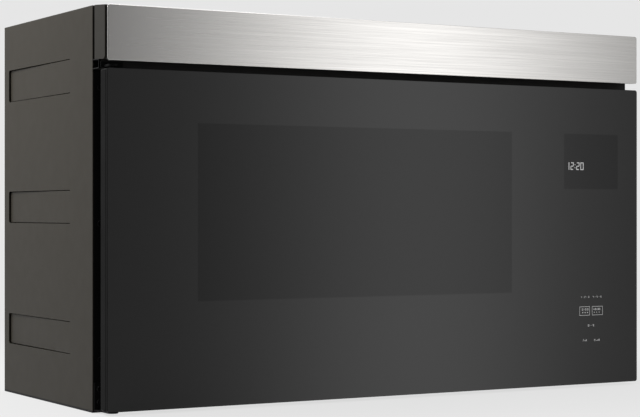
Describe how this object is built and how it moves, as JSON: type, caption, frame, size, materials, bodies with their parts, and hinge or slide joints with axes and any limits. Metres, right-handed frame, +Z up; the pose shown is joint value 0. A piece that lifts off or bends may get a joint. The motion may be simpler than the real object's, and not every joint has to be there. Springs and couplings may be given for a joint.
{
  "type": "over the range microwave",
  "caption": "Wall-hung microwave oven with hood: full-width side-hinged black glass door with touch controls, brushed strip above, underside filters and lamp.",
  "frame": {"origin": "centre of the bottom of the whole object's box", "axes": "+X right along the width, +Y back towards the wall, +Z up; the glass faces -Y"},
  "size_m": [0.759, 0.331, 0.463],
  "materials": {
    "case_paint": "satin",
    "black_paint": "satin",
    "brushed_trim": "brushed along X",
    "zinc_sheet": "zinc plated",
    "oven_steel": "satin",
    "fastener": "plated",
    "black_plastic": "moulded",
    "frame_plastic": "moulded",
    "bearing_plastic": "moulded",
    "foam_tape": "matt",
    "black_rubber": "matt",
    "front_glass": "tempered, back printed",
    "clear_glass": "clear",
    "lens_plastic": "frosted",
    "ceramic": "smooth",
    "door_enamel": "satin",
    "circuit_board": "lacquered",
    "display_plastic": "gloss",
    "touch_film": "printed",
    "spring_steel": "drawn",
    "laminated_core": "varnished",
    "motor_can": "plated",
    "fan_plastic": "moulded",
    "wheel_steel": "galvanised",
    "filter_mesh": "expanded mesh",
    "carbon_pad": "granular",
    "mould_white": "moulded",
    "capacitor_can": "drawn",
    "aluminium_plate": "stamped"
  },
  "bodies": {
    "housing": {"side_panel_left": "case_paint", "side_panel_right": "case_paint", "top_panel": "case_paint", "rear_panel": "zinc_sheet", "base_plate": "case_paint", "front_plate": "black_paint", "upper_rail": "black_paint", "case_screws": "fastener", "mounting_nuts": "fastener", "cord_bushing": "black_rubber", "trim_strip": "brushed_trim", "strip_carrier": "black_plastic", "vent_cowl": "case_paint", "vent_louvres": "black_plastic", "plenum_seal": "black_plastic", "charcoal_filter": "carbon_pad", "cavity_wrapper": "oven_steel", "cavity_back": "oven_steel", "cavity_floor_pan": "oven_steel", "ceramic_floor": "ceramic", "cavity_lamp": "mould_white", "waveguide": "zinc_sheet", "stirrer_motor": "motor_can", "magnetron": "zinc_sheet", "component_shelf": "zinc_sheet", "cooling_fan_frame": "fan_plastic", "high_voltage_transformer": "laminated_core", "high_voltage_capacitor": "capacitor_can", "high_voltage_diode": "black_plastic", "power_board": "circuit_board", "interlock_bracket": "mould_white", "interlock_switches": "black_plastic", "lower_hinge_bracket": "black_paint", "upper_hinge_bracket": "black_paint", "blower_scroll_left": "zinc_sheet", "blower_scroll_right": "zinc_sheet", "blower_motor": "motor_can", "cooktop_light_lens": "lens_plastic"},
    "door": {"door_glass": "front_glass", "bonding_tape": "foam_tape", "door_frame": "frame_plastic", "hinge_bushes": "bearing_plastic", "door_plate": "door_enamel", "choke_ring": "zinc_sheet", "inner_glass": "clear_glass", "choke_cover": "black_plastic", "control_cover": "black_plastic", "control_board": "circuit_board", "display_module": "display_plastic", "touch_film": "touch_film", "door_screws": "fastener", "latch_spring": "spring_steel"},
    "latch": {"latch_slider": "bearing_plastic"},
    "stirrer": {"stirrer_antenna": "aluminium_plate"},
    "cooling_fan": {"cooling_fan_rotor": "fan_plastic"},
    "blower_rotor": {"blower_shaft": "fastener", "blower_wheel_left": "wheel_steel", "blower_wheel_right": "wheel_steel"},
    "filter_left": {"grease_filter_left": "filter_mesh"},
    "filter_right": {"grease_filter_right": "filter_mesh"}
  },
  "joints": [
    {"name": "door_swing", "type": "hinge", "parent": "housing", "child": "door", "pos_m": [-0.368, -0.1535, 0.2], "axis": [0, 0, -1], "range_deg": [0, 100]},
    {"name": "latch_slide", "type": "slide", "parent": "door", "child": "latch", "axis": [0, 0, 1], "range_m": [0, 0.003], "stiffness_N_per_m": 400, "springref_m": -0.004, "deforming": ["latch_spring"]},
    {"name": "blower_spin", "type": "hinge", "parent": "housing", "child": "blower_rotor", "pos_m": [0, 0.06525, 0.404], "axis": [1, 0, 0], "continuous": true},
    {"name": "cooling_fan_spin", "type": "hinge", "parent": "housing", "child": "cooling_fan", "pos_m": [0.321, 0.004, 0.124], "axis": [1, 0, 0], "continuous": true},
    {"name": "stirrer_spin", "type": "hinge", "parent": "housing", "child": "stirrer", "pos_m": [-0.046, 0.004, 0.087], "axis": [0, 0, 1], "continuous": true},
    {"name": "filter_left_release", "type": "slide", "parent": "housing", "child": "filter_left", "axis": [0, -1, 0], "range_m": [0, 0.008]},
    {"name": "filter_right_release", "type": "slide", "parent": "housing", "child": "filter_right", "axis": [0, -1, 0], "range_m": [0, 0.008]}
  ]
}
